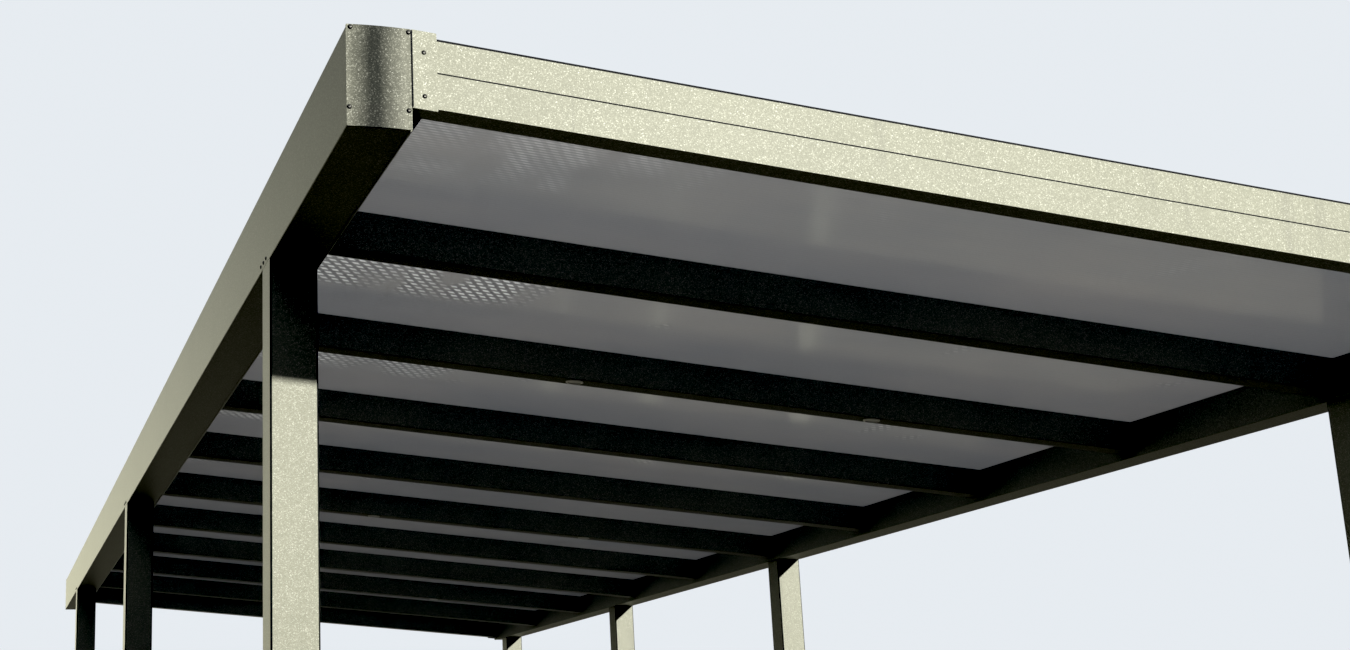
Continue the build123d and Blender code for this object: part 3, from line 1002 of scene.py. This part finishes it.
class CARPORT_OT_stage(bpy.types.Operator):
    """Build the floor, the light and the camera"""
    bl_idname = "carport.stage"
    bl_label = "Stage"

    def execute(self, context):
        black_tint = (1.0, 0.93, 0.69)
        scene = context.scene
        settings, view = scene.carport_stage, scene.view_settings
        self.floor(settings)
        self.light(scene, settings)
        self.camera(scene, settings)
        view.view_transform = "Standard"
        view.use_curve_mapping = True
        view.curve_mapping.black_level = shaded(black_tint, settings.black)
        view.curve_mapping.update()
        return {"FINISHED"}

    def floor(self, settings):
        """A pale floor just under the feet, which throws no light on the object."""
        grey, pale = (0.58, 0.59, 0.60), (0.64, 0.65, 0.66)
        half, level = settings.floor_size / 2, -0.0005
        bm = bmesh.new()
        bm.faces.new([bm.verts.new((x * half, y * half, level))
                      for x, y in ((-1, -1), (1, -1), (1, 1), (-1, 1))])
        material, net, place = new_material("Pale floor")
        clouds = net.noise(place, 0.8, 4.0, 0.6)
        show(net, {"Base Color": net.mix(clouds, grey, pale), "Roughness": 0.75 + 0.1 * clouds})
        floor = mesh_piece("floor", bm, material)
        floor.visible_diffuse = False
        floor.visible_glossy = False

    def light(self, scene, settings):
        """A main light, and around it a glow along the rear horizon and light from above.

        Reflections also have uneven light from below at the rear. The camera sees the backdrop.
        """
        glow_tint, sky_tint, bounce_tint = (1.0, 0.980, 0.72), (0.94, 0.98, 1.0), (1.0, 0.94, 0.70)
        main_tint = (1.0, 0.995, 0.93)
        world = bpy.data.worlds.new("Studio")
        scene.world = world
        world.use_nodes = True
        world.node_tree.nodes.clear()
        net = Net(world.node_tree)
        towards = net.add("ShaderNodeTexCoord", out="Generated")
        depth, height = net.axis(towards, "Y"), net.axis(towards, "Z")
        glow = net.ranged(height, -0.12, 0.04) * net.ranged(height, 0.06, 0.38, 1.0, 0.12) \
            * net.ranged(depth, -0.1, 0.85, 0.05, 1.0)
        above = net.ranged(height, 0.50, 0.85)
        mirrored = net.add("ShaderNodeLightPath", out="Is Glossy Ray")
        bounce = net.ranged(height, -0.16, -0.37) * net.ranged(depth, 0.2, 0.7) * mirrored \
            * net.ranged(net.noise(towards, 16.0, 3.0, 0.6), 0.35, 0.65, 0.35, 1.65)
        strength = glow * settings.horizon + above * settings.sky \
            + bounce * settings.bounce + settings.fill
        tint = net.mix(net.ranged(height, 0.1, 0.6), glow_tint, sky_tint)
        tint = net.mix(net.ranged(height, -0.10, -0.16), tint, bounce_tint)
        studio = net.add("ShaderNodeBackground", {}, {"Color": tint, "Strength": strength})
        behind = net.add("ShaderNodeBackground", {}, {"Color": rgba(settings.backdrop)})
        seen = net.add("ShaderNodeLightPath", out="Is Camera Ray")
        both = net.add("ShaderNodeMixShader", {}, {0: seen, 1: studio, 2: behind})
        net.add("ShaderNodeOutputWorld", {}, {"Surface": both})
        lamp = bpy.data.lights.new("Main light", "SUN")
        lamp.energy = settings.sun
        lamp.angle = settings.sun_angle
        lamp.color = main_tint
        main_light = bpy.data.objects.new("main_light", lamp)
        direction = Vector(settings.sun_direction)
        main_light.rotation_euler = direction.to_track_quat("Z", "Y").to_euler()
        scene.collection.objects.link(main_light)

    def camera(self, scene, settings):
        """The camera at the photograph's place and angle."""
        width, height = PICTURE
        sight_x, sight_y = settings.centre_pixels
        lens = bpy.data.cameras.new("Camera")
        lens.sensor_fit = "HORIZONTAL"
        lens.lens = settings.focal_pixels * lens.sensor_width / width
        lens.shift_x = (width / 2 - sight_x) / width
        lens.shift_y = (sight_y - height / 2) / width
        lens.clip_end = 500.0
        camera = bpy.data.objects.new("camera", lens)
        camera.matrix_world = (
            Matrix.Translation(settings.camera_place)
            @ Matrix.Rotation(math.pi / 2 + settings.camera_up, 4, "X")
            @ Matrix.Rotation(-settings.camera_right, 4, "Y")
            @ Matrix.Rotation(settings.camera_roll, 4, "Z"))
        scene.collection.objects.link(camera)
        scene.camera = camera


OPERATORS = [
    CARPORT_OT_frame_coat, CARPORT_OT_roof_sheets, CARPORT_OT_sheet_trim,
    CARPORT_OT_corner_plates, CARPORT_OT_screws, CARPORT_OT_spots, CARPORT_OT_anchors,
    CARPORT_OT_stage]
GROUPS = {
    "carport_coat": CoatSettings, "carport_sheets": SheetSettings,
    "carport_fasteners": FastenerSettings, "carport_stage": StageSettings}


class CARPORT_PT_panel(bpy.types.Panel):
    """Lists the groups of pieces and their settings"""
    bl_idname = "CARPORT_PT_panel"
    bl_label = "Carport"
    bl_space_type = "VIEW_3D"
    bl_region_type = "UI"
    bl_category = "Carport"

    def draw(self, context):
        for operator in OPERATORS:
            self.layout.operator(operator.bl_idname)
        for name, group in GROUPS.items():
            box = self.layout.box()
            box.label(text=group.__doc__)
            for key in group.__annotations__:
                box.prop(getattr(context.scene, name), key)


CLASSES = [*GROUPS.values(), *OPERATORS, CARPORT_PT_panel]


def register():
    for cls in CLASSES:
        bpy.utils.register_class(cls)
    for name, group in GROUPS.items():
        setattr(bpy.types.Scene, name, PointerProperty(type=group))


def unregister():
    for name in GROUPS:
        delattr(bpy.types.Scene, name)
    for cls in reversed(CLASSES):
        bpy.utils.unregister_class(cls)


def main():
    register()
    for operator in OPERATORS:
        group, name = operator.bl_idname.split(".")
        getattr(getattr(bpy.ops, group), name)()


if __name__ == "__main__":
    main()
